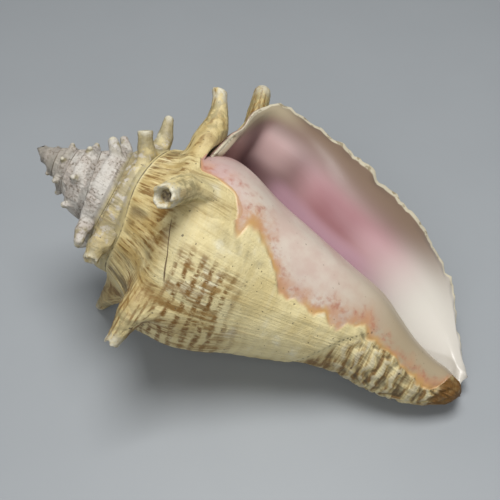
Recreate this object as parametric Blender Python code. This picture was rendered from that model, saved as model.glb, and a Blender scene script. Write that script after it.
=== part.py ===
"""Conch shell, one natural piece: it lies on its back, on two spines and the canal, opening up.

The shell is one helical surface, worked out in the shell's own frame: "along" runs down the axis
from the apex to the end of the canal, "right" is level, and "front" points out of the opening.
Growth is counted in turns. Turn 0 is where the lip meets the body, and older growth is below 0.
In the half-plane of each turn, the share runs from 0 at the suture over the shoulder to 1 at the
end of the canal. Lengths are millimetres until the mesh is laid down in the world, in metres.
"""

import math

import bpy
import numpy as np

MM = 0.001

# Size and pose of the whole shell
LENGTH = 215.0
AXIS_SLOPE = math.radians(20.5)
LIP_AZIMUTH = math.radians(62.4)

# Where the suture runs: turn, distance along the axis, radius
SUTURE = (
    (-7.0, 1.8, 1.7),
    (-6.0, 5.0, 3.4),
    (-5.0, 10.0, 5.9),
    (-4.0, 17.0, 9.3),
    (-3.0, 26.5, 13.8),
    (-2.82, 31.0, 15.0),
    (-2.70, 33.5, 16.2),
    (-2.50, 34.5, 18.0),
    (-2.05, 38.0, 20.3),
    (-1.82, 43.0, 22.0),
    (-1.60, 42.5, 24.0),
    (-1.50, 43.5, 24.5),
    (-1.25, 46.5, 26.5),
    (-1.05, 51.5, 29.5),
    (-0.86, 50.5, 30.0),
    (-0.76, 54.5, 29.5),
    (-0.65, 54.0, 30.0),
    (-0.50, 56.5, 32.0),
    (-0.25, 61.5, 35.0),
    (0.0, 67.0, 36.5),
    (0.15, 77.5, 43.0),
    (0.28, 81.5, 44.5),
    (0.53, 85.0, 45.5),
    (1.0, 91.0, 46.5),
)
# Where the shoulder runs, in the same terms
SHOULDER = (
    (-7.0, 3.4, 2.9),
    (-6.0, 8.0, 5.2),
    (-5.0, 14.2, 9.2),
    (-4.0, 22.8, 14.0),
    (-3.0, 33.8, 20.8),
    (-2.0, 45.0, 29.0),
    (-1.5, 50.5, 31.5),
    (-1.25, 55.5, 34.5),
    (-1.0, 62.5, 38.0),
    (-0.85, 72.0, 42.5),
    (-0.72, 75.5, 44.5),
    (-0.57, 77.5, 45.5),
    (-0.47, 78.0, 46.0),
    (0.0, 80.0, 48.0),
)
# The side below the next suture: share of the way to the canal's end, share of the radius there
SIDE = (
    (0.07, 0.985),
    (0.16, 0.90),
    (0.255, 0.765),
    (0.36, 0.655),
    (0.48, 0.555),
    (0.60, 0.455),
    (0.70, 0.385),
    (0.79, 0.31),
    (0.87, 0.25),
    (0.94, 0.18),
    (0.985, 0.09),
    (1.0, 0.0),
)
RAMP_SHARE = 0.15
SHOULDER_SHARE = 0.30
NEXT_SUTURE_SHARE = 0.36
RAMP_HOLLOW = (0.10, -0.06)

# The columella bends a little: distance along, sideways shift toward BEND_AZIMUTH
BEND = (
    (110.0, 0.0),
    (130.0, 1.0),
    (146.0, 2.5),
    (163.0, 3.7),
    (174.0, 1.6),
    (186.0, -0.4),
    (197.0, -0.4),
    (206.0, 1.5),
    (215.0, 2.5),
)
BEND_AZIMUTH = math.radians(37.4)

# Callus over the wall beside the opening: share, thickness; and the turns where it starts and ends
CALLUS = (
    (0.36, 1.5),
    (0.42, 6.0),
    (0.50, 7.5),
    (0.60, 8.3),
    (0.70, 6.6),
    (0.80, 4.8),
    (0.88, 3.2),
    (0.94, 2.0),
    (1.00, 0.0),
)
CALLUS_TURNS = (-1.32, -1.12, -0.98, -0.82)
CALLUS_MARGIN = 0.05

# Edge of the lip: share, distance along, radius, azimuth in degrees; it starts at the suture
LIP_EDGE = (
    (0.06, 69.0, 46.0, 46.0),
    (0.12, 71.0, 53.0, 35.0),
    (0.20, 73.0, 67.0, 26.0),
    (0.29, 80.0, 78.0, 21.0),
    (0.40, 100.0, 80.0, 18.0),
    (0.54, 130.0, 76.0, 17.0),
    (0.70, 169.0, 64.0, 15.0),
    (0.82, 192.0, 48.0, 11.0),
    (0.92, 205.0, 29.0, 5.0),
    (1.00, 214.0, 14.0, -4.0),
)
FLARE_POWER = (4.0, 1.6)
FLARE_CHANGE = (0.55, 1.0)

# The wall of the hollow
HOLLOW_TURNS = 13.0 / 28.0
LIP_THICKNESS = 2.4
WALL_THICKNESS = 4.2
INNER_SUTURE_STEP = 0.03
THIN_WALL_SHARE = 0.35
# Share of the hollow's length after which the wall thins toward the lip
THINS_FROM = 0.75

# Resolution
ROWS_PER_TURN = 56
FIRST_TURN = -6.0
SPIRE_SHARES = (0.0, 0.10, 0.19, 0.26, 0.31)
BODY_SHARES = (0.36, 0.41, 0.47, 0.54, 0.61, 0.68, 0.75, 0.82, 0.88, 0.93, 0.97, 1.0)

# Spines of the last whorl and of the spire: turn, share and depth of the root, then of the tip the
# distance along, radius and azimuth in degrees, and last the radius at the root and at the tip
SPINES = (
    (-0.110, 0.270, 2.8, 68.0, 90.0, 12.0, 6.5, 4.2),
    (-0.300, 0.300, 2.8, 66.0, 81.0, 310.0, 6.8, 3.8),
    (-0.570, 0.080, 5.0, 54.0, 68.5, 258.0, 7.0, 3.0),
    (-0.700, 0.300, 8.0, 75.2, 60.9, 183.5, 9.5, 3.6),
    (-0.895, 0.365, 7.0, 66.0, 60.0, 118.0, 11.0, 5.6),
    (-1.030, 0.320, 4.0, 57.0, 62.3, 42.0, 10.0, 3.6),
    (-1.215, 0.300, 5.0, 52.0, 50.0, -18.0, 5.5, 2.8),
    (-1.360, 0.300, 5.0, 50.0, 45.0, -88.0, 5.0, 2.6),
    (-1.480, 0.300, 4.6, 47.0, 36.0, 250.0, 4.6, 2.4),
    (-1.710, 0.310, 5.0, 50.0, 39.0, 172.0, 6.4, 3.3),
    (-1.950, 0.310, 4.5, 41.0, 37.0, 74.0, 4.5, 3.0),
    (-2.050, 0.335, 4.5, 43.0, 42.0, 40.0, 5.0, 2.2),
    (-2.190, 0.300, 4.0, 41.0, 35.0, -10.0, 4.0, 2.0),
    (-2.330, 0.300, 4.0, 38.0, 33.0, -58.0, 4.0, 2.0),
    (-2.450, 0.300, 3.6, 37.0, 30.0, 260.0, 3.6, 2.0),
    (-2.570, 0.310, 3.4, 36.0, 28.0, 217.0, 3.4, 2.0),
    (-2.690, 0.310, 3.8, 41.0, 32.0, 179.0, 3.8, 2.2),
    (-2.950, 0.300, 3.4, 29.0, 25.5, 73.0, 3.4, 2.2),
    (-3.060, 0.310, 2.9, 30.0, 24.0, 40.0, 2.9, 1.8),
    (-3.200, 0.300, 2.8, 26.0, 23.0, -10.0, 2.8, 1.6),
    (-3.330, 0.300, 2.7, 25.0, 21.0, -58.0, 2.7, 1.5),
    (-3.470, 0.300, 2.5, 26.0, 19.0, 252.0, 2.5, 1.4),
    (-3.660, 0.300, 2.4, 24.0, 18.0, 186.0, 2.4, 1.4),
)
# Knobs of the oldest whorls: first and last turn, step, length as a share of the whorl's radius,
# lean toward the apex, and the radius of root and tip as a share of that radius and an extra
KNOB_TURNS = (-3.80, -5.60)
KNOB_STEP = 0.15
KNOB_LENGTH = 0.12
KNOB_LEAN = math.radians(20.0)
KNOB_ROOT = (0.13, 0.8)
KNOB_TIP = (0.06, 0.5)
# The flared foot of every spine and its round end, as shares
FOOT_HEIGHT = 0.30
FOOT_TAPER = 0.5
END_DROP = 0.35
END_ROUND = 0.72
PROBE_STEP = 0.01
# Sides of a spine with a wide root and of a narrow one
SPINE_SIDES = (12, 8)
WIDE_ROOT = 4.7

SHELL_COLOUR = (0.72, 0.60, 0.42, 1.0)
SHELL_ROUGHNESS = 0.55


def smooth(x, knots, values):
    """Cubic curve through values (..., knot) read at x, with slopes averaged from its neighbours."""
    knots, values = np.asarray(knots, float), np.asarray(values, float)
    step = np.diff(knots)
    secant = np.diff(values) / step
    inner = (secant[..., :-1] * step[1:] + secant[..., 1:] * step[:-1]) / (step[1:] + step[:-1])
    slope = np.concatenate([secant[..., :1], inner, secant[..., -1:]], axis=-1)
    i = np.clip(np.searchsorted(knots, x, side="right") - 1, 0, len(knots) - 2)
    t = np.clip((x - knots[i]) / step[i], 0.0, 1.0)
    rise = values[..., i + 1] - values[..., i]
    start, end = slope[..., i] * step[i], slope[..., i + 1] * step[i]
    square, cube = 3.0 * rise - 2.0 * start - end, start + end - 2.0 * rise
    return values[..., i] + t * (start + t * (square + t * cube))


def ease(low, high, x):
    """Smooth step from 0 at low to 1 at high."""
    t = np.clip((x - low) / (high - low), 0.0, 1.0)
    return t * t * (3.0 - 2.0 * t)


def read_track(track, turn):
    """Distance along and radius of the suture or the shoulder at each turn."""
    table = np.asarray(track)
    return smooth(turn, table[:, 0], table[:, 1]), smooth(turn, table[:, 0], table[:, 2])


def azimuth_of(turn):
    """Azimuth about the axis, from right toward front."""
    return LIP_AZIMUTH + 2.0 * math.pi * np.asarray(turn)


def callus(turn, share):
    """Thickness of the callus, for rows of turns and columns of shares."""
    table = np.asarray(CALLUS)
    grows, full, fades, ends = CALLUS_TURNS
    along_growth = ease(grows, full, turn) * (1.0 - ease(fades, ends, turn))
    thickness = smooth(share, table[:, 0], table[:, 1]) * (share > table[0, 0] - CALLUS_MARGIN)
    return along_growth[:, None] * thickness * ease(RAMP_SHARE, CALLUS[1][0], share)


def section(turn, share):
    """Distance along and radius of the outer profile, for rows of turns and columns of shares."""
    turn = np.atleast_1d(turn)
    suture_along, suture_radius = read_track(SUTURE, turn)
    shoulder_along, shoulder_radius = read_track(SHOULDER, turn)
    next_along, next_radius = read_track(SUTURE, turn + 1.0)
    ledge = shoulder_radius - suture_radius
    ramp_along = 0.5 * (suture_along + shoulder_along) + RAMP_HOLLOW[0] * ledge
    ramp_radius = 0.5 * (suture_radius + shoulder_radius) + RAMP_HOLLOW[1] * ledge
    side = np.asarray(SIDE)
    side_shares = NEXT_SUTURE_SHARE + (1.0 - NEXT_SUTURE_SHARE) * side[:, 0]
    knots = np.concatenate([[0.0, RAMP_SHARE, SHOULDER_SHARE, NEXT_SUTURE_SHARE], side_shares])
    side_along = next_along[:, None] + (LENGTH - next_along[:, None]) * side[:, 0]
    side_radius = next_radius[:, None] * side[:, 1]
    first_along = np.stack([suture_along, ramp_along, shoulder_along, next_along], axis=-1)
    first_radius = np.stack([suture_radius, ramp_radius, shoulder_radius, next_radius], axis=-1)
    along = smooth(share, knots, np.concatenate([first_along, side_along], axis=-1))
    radius = smooth(share, knots, np.concatenate([first_radius, side_radius], axis=-1))
    return along, radius + callus(turn, share)


def around(along, radius, azimuth):
    """Point in the shell's frame from its distance along, radius and azimuth."""
    return np.stack([along, radius * np.cos(azimuth), radius * np.sin(azimuth)], axis=-1)


def bend_shift(along):
    """Sideways shift by the bend of the columella."""
    bend = np.asarray(BEND)
    shift = smooth(np.clip(along, bend[0, 0], bend[-1, 0]), bend[:, 0], bend[:, 1])
    return shift[..., None] * np.array([0.0, math.cos(BEND_AZIMUTH), math.sin(BEND_AZIMUTH)])


def spiral(turn, share):
    """Points of the spiral's profile at each turn, before the lip flares."""
    along, radius = section(turn, share)
    return around(along, radius, azimuth_of(np.atleast_1d(turn))[:, None]) + bend_shift(along)


def lip_edge(share):
    """Outer edge of the lip, in the shell's frame: it leaves the body at the suture of turn 0."""
    start = (0.0, *read_track(SUTURE, 0.0), math.degrees(LIP_AZIMUTH))
    edge = np.array([start, *LIP_EDGE])
    along, radius, azimuth = smooth(share, edge[:, 0], edge[:, None, 1:].T)[:, 0]
    return around(along, radius, np.radians(azimuth))


def outer_wall(turn, share):
    """Outer surface: the spiral's profile, drawn out to the lip's edge over the last half turn."""
    turn, share = np.atleast_1d(turn), np.atleast_1d(share)
    points = spiral(turn, share)
    reach = lip_edge(share) - spiral(0.0, share)[0]
    power = FLARE_POWER[0] + (FLARE_POWER[1] - FLARE_POWER[0]) * ease(*FLARE_CHANGE, share)
    growth = np.clip(1.0 + turn / HOLLOW_TURNS, 0.0, 1.0)
    return points + (growth[:, None] ** power)[..., None] * reach


def surface_normal(points):
    """Outward unit normal of a grid of points, rows along growth and columns along the profile."""
    normal = np.cross(np.gradient(points, axis=0), np.gradient(points, axis=1))
    return normal / np.maximum(np.linalg.norm(normal, axis=-1, keepdims=True), 1e-9)


def inner_wall(outer, core, shares, inner_suture):
    """Inner surface of the hollow: the outer wall moved in by the shell's thickness."""
    rows = np.linspace(0.0, 1.0, len(outer))[:, None]
    thickness = WALL_THICKNESS + (LIP_THICKNESS - WALL_THICKNESS) * ease(THINS_FROM, 1.0, rows)
    room = np.linalg.norm(outer - core, axis=-1)
    thickness = np.minimum(thickness, THIN_WALL_SHARE * room)
    inner = outer - thickness[..., None] * surface_normal(outer)
    near_suture = (1.0 - ease(0.0, RAMP_SHARE, shares))[None, :, None]
    return inner + near_suture * (inner_suture[:, None] - inner[:, :1])


def grid_faces(numbers, flip=False):
    """Four-sided faces of a grid of vertex numbers; a side that has shrunk to a point drops out."""
    faces = []
    for row in range(numbers.shape[0] - 1):
        for column in range(numbers.shape[1] - 1):
            face = [numbers[row, column], numbers[row + 1, column]]
            face += [numbers[row + 1, column + 1], numbers[row, column + 1]]
            corners = tuple(dict.fromkeys(int(n) for n in face))
            faces.append(corners[::-1] if flip else corners)
    return faces


def number_rows(count, start):
    """Vertex numbers for a block of count points, from start."""
    return np.arange(start, start + int(np.prod(count))).reshape(count)


def shell_mesh():
    """Vertices and faces of the shell without its spines: one closed surface."""
    shares = np.array(SPIRE_SHARES + BODY_SHARES)
    seam, last = len(SPIRE_SHARES), len(shares) - 1
    row_count = round(-FIRST_TURN * ROWS_PER_TURN) + 1
    turns = FIRST_TURN + np.arange(row_count) / ROWS_PER_TURN
    lip_row = row_count - 1
    body_row = lip_row - ROWS_PER_TURN
    hollow_row = lip_row - round(HOLLOW_TURNS * ROWS_PER_TURN)
    core_row = hollow_row - ROWS_PER_TURN

    outer_points = outer_wall(turns, shares)
    core_turns = turns[core_row:body_row + 1]
    core_shares = shares.copy()
    core_shares[seam] += INNER_SUTURE_STEP
    core_points = outer_wall(core_turns, core_shares)
    core_wall = outer_wall(core_turns, shares)
    inner_points = inner_wall(outer_points[hollow_row:], core_wall, shares, core_points[:, seam])

    total = outer_points.size // 3
    outer = number_rows(outer_points.shape[:2], 0)
    inner = number_rows(inner_points.shape[:2], total)
    core = number_rows(core_points.shape[:2], total + inner.size)
    apex = total + inner.size + core.size
    outer[:body_row + 1, seam] = outer[ROWS_PER_TURN:, 0]
    core[:, seam] = inner[:, 0]
    core[-1, seam + 1:] = outer[body_row, seam + 1:]
    pole = outer[body_row, last]
    outer[body_row:hollow_row + 1, last] = pole
    core[:, last] = pole
    inner[0, last] = pole

    faces = grid_faces(outer[:body_row + 1, :seam + 1])
    faces += grid_faces(outer[body_row:])
    faces += grid_faces(core[:, seam:])
    faces += grid_faces(inner, flip=True)
    faces += grid_faces(np.stack([outer[lip_row], inner[-1]]))
    faces += grid_faces(np.stack([outer[hollow_row:, last], inner[:, last]], axis=1))
    faces.append((int(inner[-1, 0]), int(outer[lip_row, 0]), int(outer[body_row, seam + 1])))
    faces.append(tuple(int(n) for n in np.concatenate([inner[0, ::-1], core[0, seam + 1:last]])))
    ring = [*outer[ROWS_PER_TURN::-1, 0], *outer[0, 1:seam + 1]]
    faces += [(int(a), int(b), apex) for a, b in zip(ring[:-1], ring[1:])]

    points = [block.reshape(-1, 3) for block in (outer_points, inner_points, core_points)]
    faces = [face for face in faces if len(face) > 2]
    return np.concatenate([*points, np.zeros((1, 3))]), faces


def wall_spot(turn, share):
    """Point of the outer wall with its outward unit normal."""
    step = PROBE_STEP * np.array([-1.0, 0.0, 1.0])
    patch = outer_wall(turn + 0.5 * step, share + step)
    return patch[1, 1], surface_normal(patch)[1, 1]


def spine_frames():
    """Root, root normal, root depth, tip, radius at the root and radius at the tip of every spine."""
    spines = []
    for turn, share, depth, along, radius, azimuth, root_radius, tip_radius in SPINES:
        tip = around(along, radius, math.radians(azimuth))
        spines.append((*wall_spot(turn, share), depth, tip, root_radius, tip_radius))
    for number in range(int((KNOB_TURNS[0] - KNOB_TURNS[1]) / KNOB_STEP) + 1):
        base, normal = wall_spot(KNOB_TURNS[0] - number * KNOB_STEP, SHOULDER_SHARE)
        radius = math.hypot(base[1], base[2])
        way = np.array([0.0, base[1], base[2]]) / radius * math.cos(KNOB_LEAN)
        way[0] = -math.sin(KNOB_LEAN)
        root_radius = KNOB_ROOT[0] * radius + KNOB_ROOT[1]
        tip_radius = KNOB_TIP[0] * radius + KNOB_TIP[1]
        tip = base + (radius * KNOB_LENGTH + tip_radius) * way
        spines.append((base, normal, root_radius, tip, root_radius, tip_radius))
    return spines


def spine_mesh(base, normal, depth, tip, root_radius, tip_radius, sides):
    """Closed tapered spine with a round end; its root ring lies in the wall, along the surface."""
    length = np.linalg.norm(tip - base)
    way = (tip - base) / length
    side = np.cross(way, (1.0, 0.0, 0.0))
    side /= np.linalg.norm(side)
    other = np.cross(way, side)
    angles = 2.0 * math.pi * np.arange(sides) / sides
    circle = np.cos(angles)[:, None] * side + np.sin(angles)[:, None] * other
    root = circle - (circle @ normal)[:, None] * normal
    root /= np.linalg.norm(root, axis=1, keepdims=True)
    rings = (
        (FOOT_HEIGHT * (length - tip_radius), FOOT_TAPER * (root_radius + tip_radius)),
        (length - tip_radius, tip_radius),
        (length - END_DROP * tip_radius, END_ROUND * tip_radius),
    )
    points = [base - normal * depth + root * root_radius]
    points += [base + way * height + circle * radius for height, radius in rings]
    points.append(tip[None])
    numbers = np.arange((len(rings) + 1) * sides).reshape(-1, sides)
    end = numbers.size
    numbers = np.concatenate([numbers, numbers[:, :1]], axis=1)
    faces = grid_faces(numbers, flip=True)
    faces += [(int(a), int(b), end) for a, b in zip(numbers[-1, :-1], numbers[-1, 1:])]
    faces.append(tuple(int(n) for n in numbers[0, -2::-1]))
    return np.concatenate(points), faces


def to_world(points):
    """Turn points of the shell's frame into the lying pose, in metres."""
    slope_cos, slope_sin = math.cos(AXIS_SLOPE), math.sin(AXIS_SLOPE)
    x = points[:, 0] * slope_cos + points[:, 2] * slope_sin
    z = points[:, 2] * slope_cos - points[:, 0] * slope_sin
    return np.stack([x, points[:, 1], z], axis=-1) * MM


def make_object(name, points, faces):
    """Object with a mesh of these points and faces, linked to the scene."""
    mesh = bpy.data.meshes.new(name)
    mesh.from_pydata(points.tolist(), [], faces)
    item = bpy.data.objects.new(name, mesh)
    bpy.context.scene.collection.objects.link(item)
    return item


def drop_loose(points, faces):
    """Leave out the points that no face uses, such as the twins of glued seams."""
    used = np.unique(np.concatenate([np.array(face) for face in faces]))
    renumber = np.full(len(points), -1)
    renumber[used] = np.arange(len(used))
    return points[used], [tuple(int(renumber[n]) for n in face) for face in faces]


def shell_material():
    """Cream, half-matt surface of the whole shell."""
    material = bpy.data.materials.new("shell_cream")
    material.use_nodes = True
    surface = material.node_tree.nodes["Principled BSDF"]
    surface.inputs["Base Color"].default_value = SHELL_COLOUR
    surface.inputs["Roughness"].default_value = SHELL_ROUGHNESS
    surface.inputs["Metallic"].default_value = 0.0
    return material


def main():
    """Build the shell with its spines and stand it on the ground."""
    for item in list(bpy.data.objects):
        bpy.data.objects.remove(item, do_unlink=True)
    shell_points, shell_faces = drop_loose(*shell_mesh())
    spine_points, spine_faces, offset = [], [], 0
    for spine in spine_frames():
        sides = SPINE_SIDES[0] if spine[4] > WIDE_ROOT else SPINE_SIDES[1]
        points, faces = spine_mesh(*spine, sides)
        spine_points.append(points)
        spine_faces += [tuple(n + offset for n in face) for face in faces]
        offset += len(points)
    shell_points = to_world(shell_points)
    spine_points = to_world(np.concatenate(spine_points))
    everything = np.concatenate([shell_points, spine_points])
    low, high = everything.min(axis=0), everything.max(axis=0)
    origin = np.array([(low[0] + high[0]) / 2.0, (low[1] + high[1]) / 2.0, low[2]])

    shell = make_object("shell", shell_points - origin, shell_faces)
    spines = make_object("spines", spine_points - origin, spine_faces)
    spines.hide_render = True
    spines.display_type = "WIRE"
    join = shell.modifiers.new("spines", "BOOLEAN")
    join.operation = "UNION"
    join.object = spines
    shell.data.materials.append(shell_material())
    shell.data.shade_smooth()


main()
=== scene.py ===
"""Queen conch shell, dressed for its picture.

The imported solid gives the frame. The shell is worked out again here from the same measures as the
solid, as numpy surfaces of growth and girth, with its growth lines, cords, sutures, worn spines and
the glaze of its opening. Growth is counted in turns, with turn 0 at the lip and older turns below
it. Girth is the share of the profile, from 0 at the suture over the shoulder to 1 at the canal.
"""

import logging
import math
from dataclasses import astuple, dataclass, field
from enum import Enum
from typing import Any

import bpy
import numpy as np
from mathutils import Matrix, Vector


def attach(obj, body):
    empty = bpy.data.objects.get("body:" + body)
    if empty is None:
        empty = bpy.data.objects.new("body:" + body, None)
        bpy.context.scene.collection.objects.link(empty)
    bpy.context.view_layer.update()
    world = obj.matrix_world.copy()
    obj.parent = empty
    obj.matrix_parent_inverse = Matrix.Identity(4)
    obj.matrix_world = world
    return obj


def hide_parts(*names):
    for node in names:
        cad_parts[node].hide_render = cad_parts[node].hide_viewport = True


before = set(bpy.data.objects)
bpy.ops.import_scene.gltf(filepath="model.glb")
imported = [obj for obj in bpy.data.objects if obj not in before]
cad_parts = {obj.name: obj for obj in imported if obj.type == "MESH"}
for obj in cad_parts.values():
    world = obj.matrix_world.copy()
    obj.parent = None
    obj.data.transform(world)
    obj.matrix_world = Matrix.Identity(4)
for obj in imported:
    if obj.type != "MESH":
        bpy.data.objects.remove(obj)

LOG = logging.getLogger("conch")
MM = 0.001
Array = np.ndarray
Marks = dict[str, Array]


class Coat(Enum):
    """Which side of the wall a grid of the surface belongs to."""

    OUTSIDE = "outside"
    LINING = "lining"
    CORE = "core"


class SpineEnd(Enum):
    """How a spine ends: worn round, worn flat, or broken open into a pit."""

    ROUND = "round"
    BLUNT = "blunt"
    BROKEN = "broken"


def smooth(x: Array | float, knots: Any, values: Any) -> Array:
    """Cubic curve through values at knots, with slopes averaged from each knot's neighbours.

    Args:
        x: Where to read the curve.
        knots: Rising places of the values.
        values: One or more rows of values, the last axis along the knots.

    Returns:
        The curve at x, one row per row of values.
    """
    knots, values = np.asarray(knots, float), np.asarray(values, float)
    step = np.diff(knots)
    secant = np.diff(values) / step
    inner = (secant[..., :-1] * step[1:] + secant[..., 1:] * step[:-1]) / (step[1:] + step[:-1])
    slope = np.concatenate([secant[..., :1], inner, secant[..., -1:]], axis=-1)
    i = np.clip(np.searchsorted(knots, x, side="right") - 1, 0, len(knots) - 2)
    t = np.clip((x - knots[i]) / step[i], 0.0, 1.0)
    rise = values[..., i + 1] - values[..., i]
    start, end = slope[..., i] * step[i], slope[..., i + 1] * step[i]
    square, cube = 3.0 * rise - 2.0 * start - end, start + end - 2.0 * rise
    return values[..., i] + t * (start + t * (square + t * cube))


def ease(low: float, high: float, x: Array | float) -> Array:
    """Smooth step from 0 at low to 1 at high."""
    t = np.clip((np.asarray(x, float) - low) / (high - low), 0.0, 1.0)
    return t * t * (3.0 - 2.0 * t)


def hump(centre: float, width: float, x: Array | float) -> Array:
    """Bell of height 1 about a centre, exp(-((x - centre) / width)^2)."""
    return np.exp(-(((np.asarray(x, float) - centre) / width) ** 2))


@dataclass(frozen=True)
class Ripple:
    """Seeded noise between -1 and 1 over growth and girth.

    Attributes:
        seed: Seed of the lattice.
        cells: Lattice cells in one turn of growth and in the whole girth.
        size: Cells after which the lattice repeats.
    """

    seed: int
    cells: tuple[float, float]
    size: int = 128

    def at(self, turn: Array | float, share: Array | float) -> Array:
        """Lattice of random heights, blended by smooth steps between its four nearest points.

        Args:
            turn: Growth at each place.
            share: Girth at each place.

        Returns:
            The noise, in the common shape of both.
        """
        lattice = np.random.default_rng(self.seed).uniform(-1.0, 1.0, (self.size, self.size))
        x, y = np.broadcast_arrays(turn * self.cells[0], share * self.cells[1])
        column, row = np.floor(x).astype(int), np.floor(y).astype(int)
        across, down = ease(0.0, 1.0, x - column), ease(0.0, 1.0, y - row)
        near, far = column % self.size, (column + 1) % self.size
        top, under = row % self.size, (row + 1) % self.size
        first = lattice[near, top] * (1.0 - across) + lattice[far, top] * across
        second = lattice[near, under] * (1.0 - across) + lattice[far, under] * across
        return first * (1.0 - down) + second * down


@dataclass(frozen=True)
class Spine:
    """One spine of the last whorl, in millimetres, turns and degrees.

    Attributes:
        turn: Growth at the root.
        share: Girth at the root.
        tip: Distance along the axis, radius and azimuth of the tip.
        root_radius: Radius near the root.
        tip_radius: Radius near the tip.
        foot: How far the foot spreads over the wall, in root radii.
        end: How the spine ends.
        stain: How much brown the mantle left on it.
        bow: How far its middle bows toward the canal.
    """

    turn: float
    share: float
    tip: tuple[float, float, float]
    root_radius: float
    tip_radius: float
    foot: float = 1.7
    end: SpineEnd = SpineEnd.ROUND
    stain: float = 0.0
    bow: float = 0.0


@dataclass(frozen=True)
class ConchForm:
    """Measures of the shell in millimetres, the same as those of the solid.

    Attributes:
        length: From the apex to the end of the canal, along the axis.
        slope: Tilt of the axis in the lying pose.
        lip_azimuth: Azimuth of turn 0.
        suture: Rows of turn, distance along the axis and radius.
        shoulder: The same rows for the keel that carries the spines.
        side: Rows of the way down the side and the radius, as shares of those at the seam.
        ramp_share: Girth in the middle of the ramp.
        shoulder_share: Girth at the shoulder.
        seam_share: Girth where the next whorl starts.
        ramp_hollow: Shift of the ramp's middle, along and outward, in widths of the ledge.
        bend: Rows of distance along the axis and sideways shift of the axis.
        bend_azimuth: Direction of that shift.
        callus: Rows of girth and thickness of the callus.
        callus_turns: Growth where the callus begins, is full, begins to fade and ends.
        callus_margin: Girth before the first row that the callus still reaches.
        lip: Rows of girth, distance along, radius and azimuth in degrees of the lip's edge.
        flare_power: Power of the flare near the suture and near the canal.
        flare_change: Girth over which that power changes.
        hollow_turns: Growth from the closed end of the hollow to the lip.
        lip_thickness: Wall at the lip.
        wall_thickness: Wall deep in the hollow.
        thin_wall_share: Share of the gap to the next whorl that the wall takes at most.
        thins_from: Share of the hollow from which the wall thins toward the lip.
        inner_suture_step: Girth from the suture outside to the one in the hollow.
    """

    length: float = 215.0
    slope: float = math.radians(20.5)
    lip_azimuth: float = math.radians(62.4)
    suture: tuple = (
        (-7.0, 1.8, 1.7), (-6.0, 5.0, 3.4), (-5.0, 10.0, 5.9), (-4.0, 17.0, 9.3), (-3.0, 26.5, 13.8),
        (-2.82, 31.0, 15.0), (-2.70, 33.5, 16.2), (-2.50, 34.5, 18.0), (-2.05, 38.0, 20.3),
        (-1.82, 43.0, 22.0), (-1.60, 42.5, 24.0), (-1.50, 43.5, 24.5), (-1.25, 46.5, 26.5),
        (-1.05, 51.5, 29.5), (-0.86, 50.5, 30.0), (-0.76, 54.5, 29.5), (-0.65, 54.0, 30.0),
        (-0.50, 56.5, 32.0), (-0.25, 61.5, 35.0), (0.0, 67.0, 36.5), (0.15, 77.5, 43.0),
        (0.28, 81.5, 44.5), (0.53, 85.0, 45.5), (1.0, 91.0, 46.5),
    )
    shoulder: tuple = (
        (-7.0, 3.4, 2.9), (-6.0, 8.0, 5.2), (-5.0, 14.2, 9.2), (-4.0, 22.8, 14.0), (-3.0, 33.8, 20.8),
        (-2.0, 45.0, 29.0), (-1.5, 50.5, 31.5), (-1.25, 55.5, 34.5), (-1.0, 62.5, 38.0),
        (-0.85, 72.0, 42.5), (-0.72, 75.5, 44.5), (-0.57, 77.5, 45.5), (-0.47, 78.0, 46.0),
        (0.0, 80.0, 48.0),
    )
    side: tuple = (
        (0.07, 0.985), (0.16, 0.90), (0.255, 0.765), (0.36, 0.655), (0.48, 0.555), (0.60, 0.455),
        (0.70, 0.385), (0.79, 0.31), (0.87, 0.25), (0.94, 0.18), (0.985, 0.09), (1.0, 0.0),
    )
    ramp_share: float = 0.15
    shoulder_share: float = 0.30
    seam_share: float = 0.36
    ramp_hollow: tuple[float, float] = (0.10, -0.06)
    bend: tuple = (
        (110.0, 0.0), (130.0, 1.0), (146.0, 2.5), (163.0, 3.7), (174.0, 1.6), (186.0, -0.4),
        (197.0, -0.4), (206.0, 1.5), (215.0, 2.5),
    )
    bend_azimuth: float = math.radians(37.4)
    callus: tuple = (
        (0.36, 1.5), (0.42, 6.0), (0.50, 7.5), (0.60, 8.3), (0.70, 6.6), (0.80, 4.8), (0.88, 3.2),
        (0.94, 2.0), (1.00, 0.0),
    )
    callus_turns: tuple[float, float, float, float] = (-1.32, -1.12, -0.98, -0.82)
    callus_margin: float = 0.05
    lip: tuple = (
        (0.06, 69.0, 46.0, 46.0), (0.12, 71.0, 53.0, 35.0), (0.20, 73.0, 67.0, 26.0),
        (0.29, 80.0, 78.0, 21.0), (0.40, 100.0, 80.0, 18.0), (0.54, 130.0, 76.0, 17.0),
        (0.70, 169.0, 64.0, 15.0), (0.82, 192.0, 48.0, 11.0), (0.92, 205.0, 29.0, 5.0),
        (1.00, 214.0, 14.0, -4.0),
    )
    flare_power: tuple[float, float] = (4.0, 1.6)
    flare_change: tuple[float, float] = (0.55, 1.0)
    hollow_turns: float = 13.0 / 28.0
    lip_thickness: float = 2.4
    wall_thickness: float = 4.2
    thin_wall_share: float = 0.35
    thins_from: float = 0.75
    inner_suture_step: float = 0.03

    def azimuth(self, turn: Array | float) -> Array:
        """Azimuth about the axis, one full circle for each turn, with the lip's at turn 0."""
        return self.lip_azimuth + 2.0 * math.pi * np.asarray(turn, float)

    def track(self, table: tuple, turn: Array | float) -> tuple[Array, Array]:
        """Distance along and radius of a helical line, read from its table at each turn."""
        rows = np.asarray(table)
        return smooth(turn, rows[:, 0], rows[:, 1]), smooth(turn, rows[:, 0], rows[:, 2])

    def around(self, along: Array, radius: Array, azimuth: Array) -> Array:
        """Point (along, radius cos azimuth, radius sin azimuth) of the shell's frame."""
        return np.stack([along, radius * np.cos(azimuth), radius * np.sin(azimuth)], axis=-1)

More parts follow.
